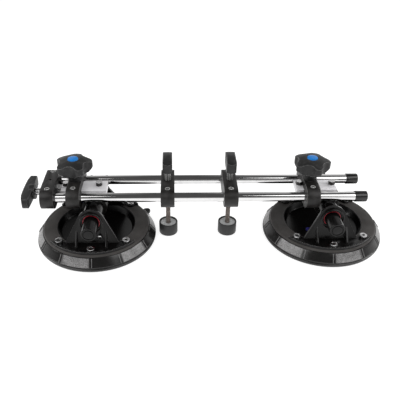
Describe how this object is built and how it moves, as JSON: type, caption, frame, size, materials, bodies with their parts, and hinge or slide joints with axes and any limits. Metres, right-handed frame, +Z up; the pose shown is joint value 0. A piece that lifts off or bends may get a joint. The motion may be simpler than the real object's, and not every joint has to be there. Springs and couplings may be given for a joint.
{
  "type": "stone slab seam setter",
  "caption": "Seam setter for stone slabs: pumped vacuum cups on sliding carriages, twin chromed rods, a screw spindle with a tee handle and leveling screws with rubber feet.",
  "frame": {"origin": "on the floor, at the middle of the outline's box", "axes": "+X along the rods, from the spindle's handle to the capped ends; +Y from the plungers' side to the back; +Z up"},
  "size_m": [0.6266, 0.216, 0.1538],
  "materials": {
    "chrome": "polished chrome plate",
    "bolt_steel": "bright zinc-plated steel",
    "disc_steel": "dull plated steel",
    "saddle_metal": "bead-blasted aluminium",
    "black_metal": "black powder coat, fine texture",
    "black_plastic": "moulded black nylon, fine spark texture",
    "black_rubber": "black rubber, smooth",
    "blue_plastic": "glossy blue",
    "red_rubber": "red rubber"
  },
  "bodies": {
    "frame": {"rod_front": "chrome", "rod_rear": "chrome", "rod_end_caps": "black_plastic", "end_block": "black_metal", "end_block_grub_screws": "bolt_steel"},
    "spindle": {"spindle": "chrome", "spindle_handle": "black_plastic"},
    "carriage_left": {"carriage_bar_left": "black_metal", "carriage_grub_screws_left": "bolt_steel", "saddle_left": "saddle_metal", "saddle_bolts_left": "bolt_steel", "handle_clamp_left": "black_metal", "cup_plate_left": "black_plastic", "vacuum_pad_left": "black_rubber", "intake_filter_left": "blue_plastic", "bracket_front_left": "black_plastic", "bracket_rear_left": "black_plastic", "bracket_bolts_left": "bolt_steel", "pump_barrel_left": "black_metal", "wiper_ring_left": "red_rubber", "return_spring_left": "bolt_steel"},
    "star_knob_left": {"star_knob_left": "black_plastic", "star_knob_cap_left": "blue_plastic", "star_knob_screw_left": "bolt_steel"},
    "plunger_left": {"plunger_left": "black_plastic", "piston_seal_left": "black_rubber"},
    "release_lever_left": {"release_lever_left": "black_plastic"},
    "leveler_left": {"leveler_bar_left": "black_metal", "leveler_grub_screws_left": "bolt_steel"},
    "leveling_pad_left": {"leveling_pad_left": "black_rubber", "pad_disc_left": "disc_steel"},
    "leveling_screw_left": {"leveling_screw_left": "chrome", "leveling_knob_left": "black_plastic"},
    "carriage_right": {"carriage_bar_right": "black_metal", "carriage_grub_screws_right": "bolt_steel", "saddle_right": "saddle_metal", "saddle_bolts_right": "bolt_steel", "handle_clamp_right": "black_metal", "cup_plate_right": "black_plastic", "vacuum_pad_right": "black_rubber", "intake_filter_right": "blue_plastic", "bracket_front_right": "black_plastic", "bracket_rear_right": "black_plastic", "bracket_bolts_right": "bolt_steel", "pump_barrel_right": "black_metal", "wiper_ring_right": "red_rubber", "return_spring_right": "bolt_steel"},
    "star_knob_right": {"star_knob_right": "black_plastic", "star_knob_cap_right": "blue_plastic", "star_knob_screw_right": "bolt_steel"},
    "plunger_right": {"plunger_right": "black_plastic", "piston_seal_right": "black_rubber"},
    "release_lever_right": {"release_lever_right": "black_plastic"},
    "leveler_right": {"leveler_bar_right": "black_metal", "leveler_grub_screws_right": "bolt_steel"},
    "leveling_pad_right": {"leveling_pad_right": "black_rubber", "pad_disc_right": "disc_steel"},
    "leveling_screw_right": {"leveling_screw_right": "chrome", "leveling_knob_right": "black_plastic"}
  },
  "joints": [
    {"name": "carriage_slide_left", "type": "slide", "parent": "frame", "child": "carriage_left", "axis": [1, 0, 0], "range_m": [-0.005, 0.005]},
    {"name": "spindle_turn", "type": "hinge", "parent": "carriage_left", "child": "spindle", "pos_m": [-0.29345, 0.007, 0.0865], "axis": [1, 0, 0], "range_deg": [-1200.5, 1200.5]},
    {"name": "carriage_slide_right", "type": "slide", "parent": "frame", "child": "carriage_right", "axis": [1, 0, 0], "range_m": [-0.025, 0.055]},
    {"name": "star_knob_turn_left", "type": "hinge", "parent": "carriage_left", "child": "star_knob_left", "pos_m": [-0.22275, 0.007, 0.111], "axis": [0, 0, 1], "range_deg": [0, 180]},
    {"name": "plunger_push_left", "type": "slide", "parent": "carriage_left", "child": "plunger_left", "axis": [0, 1, 0], "range_m": [0, 0.024], "stiffness_N_per_m": 150, "springref_m": -0.02, "deforming": ["return_spring_left"]},
    {"name": "release_lever_press_left", "type": "hinge", "parent": "carriage_left", "child": "release_lever_left", "pos_m": [-0.19275, 0.068, 0.064], "axis": [-1, 0, 0], "range_deg": [0, 20], "stiffness_Nm_per_rad": 0.1, "springref_deg": -11.46},
    {"name": "leveler_slide_left", "type": "slide", "parent": "frame", "child": "leveler_left", "axis": [1, 0, 0], "range_m": [0, 0.035]},
    {"name": "leveling_pad_lift_left", "type": "slide", "parent": "leveler_left", "child": "leveling_pad_left", "axis": [0, 0, 1], "range_m": [0, 0.045]},
    {"name": "leveling_screw_turn_left", "type": "hinge", "parent": "leveling_pad_left", "child": "leveling_screw_left", "pos_m": [-0.06625, 0.007, 0.019], "axis": [0, 0, 1], "range_deg": [0, 12965]},
    {"name": "star_knob_turn_right", "type": "hinge", "parent": "carriage_right", "child": "star_knob_right", "pos_m": [0.17585, 0.007, 0.111], "axis": [0, 0, 1], "range_deg": [0, 180]},
    {"name": "plunger_push_right", "type": "slide", "parent": "carriage_right", "child": "plunger_right", "axis": [0, 1, 0], "range_m": [0, 0.024], "stiffness_N_per_m": 150, "springref_m": -0.02, "deforming": ["return_spring_right"]},
    {"name": "release_lever_press_right", "type": "hinge", "parent": "carriage_right", "child": "release_lever_right", "pos_m": [0.20925, 0.076, 0.064], "axis": [-1, 0, 0], "range_deg": [0, 20], "stiffness_Nm_per_rad": 0.1, "springref_deg": -11.46},
    {"name": "leveler_slide_right", "type": "slide", "parent": "frame", "child": "leveler_right", "axis": [1, 0, 0], "range_m": [-0.033, 0.02]},
    {"name": "leveling_pad_lift_right", "type": "slide", "parent": "leveler_right", "child": "leveling_pad_right", "axis": [0, 0, 1], "range_m": [0, 0.045]},
    {"name": "leveling_screw_turn_right", "type": "hinge", "parent": "leveling_pad_right", "child": "leveling_screw_right", "pos_m": [0.03955, 0.007, 0.019], "axis": [0, 0, 1], "range_deg": [0, 12965]}
  ],
  "couplings": [
    {"joint": "spindle_turn", "follows": "carriage_slide_left", "rad_per_m": 4188.8},
    {"joint": "leveling_screw_turn_left", "follows": "leveling_pad_lift_left", "rad_per_m": 5026.5},
    {"joint": "leveling_screw_turn_right", "follows": "leveling_pad_lift_right", "rad_per_m": 5026.5}
  ]
}
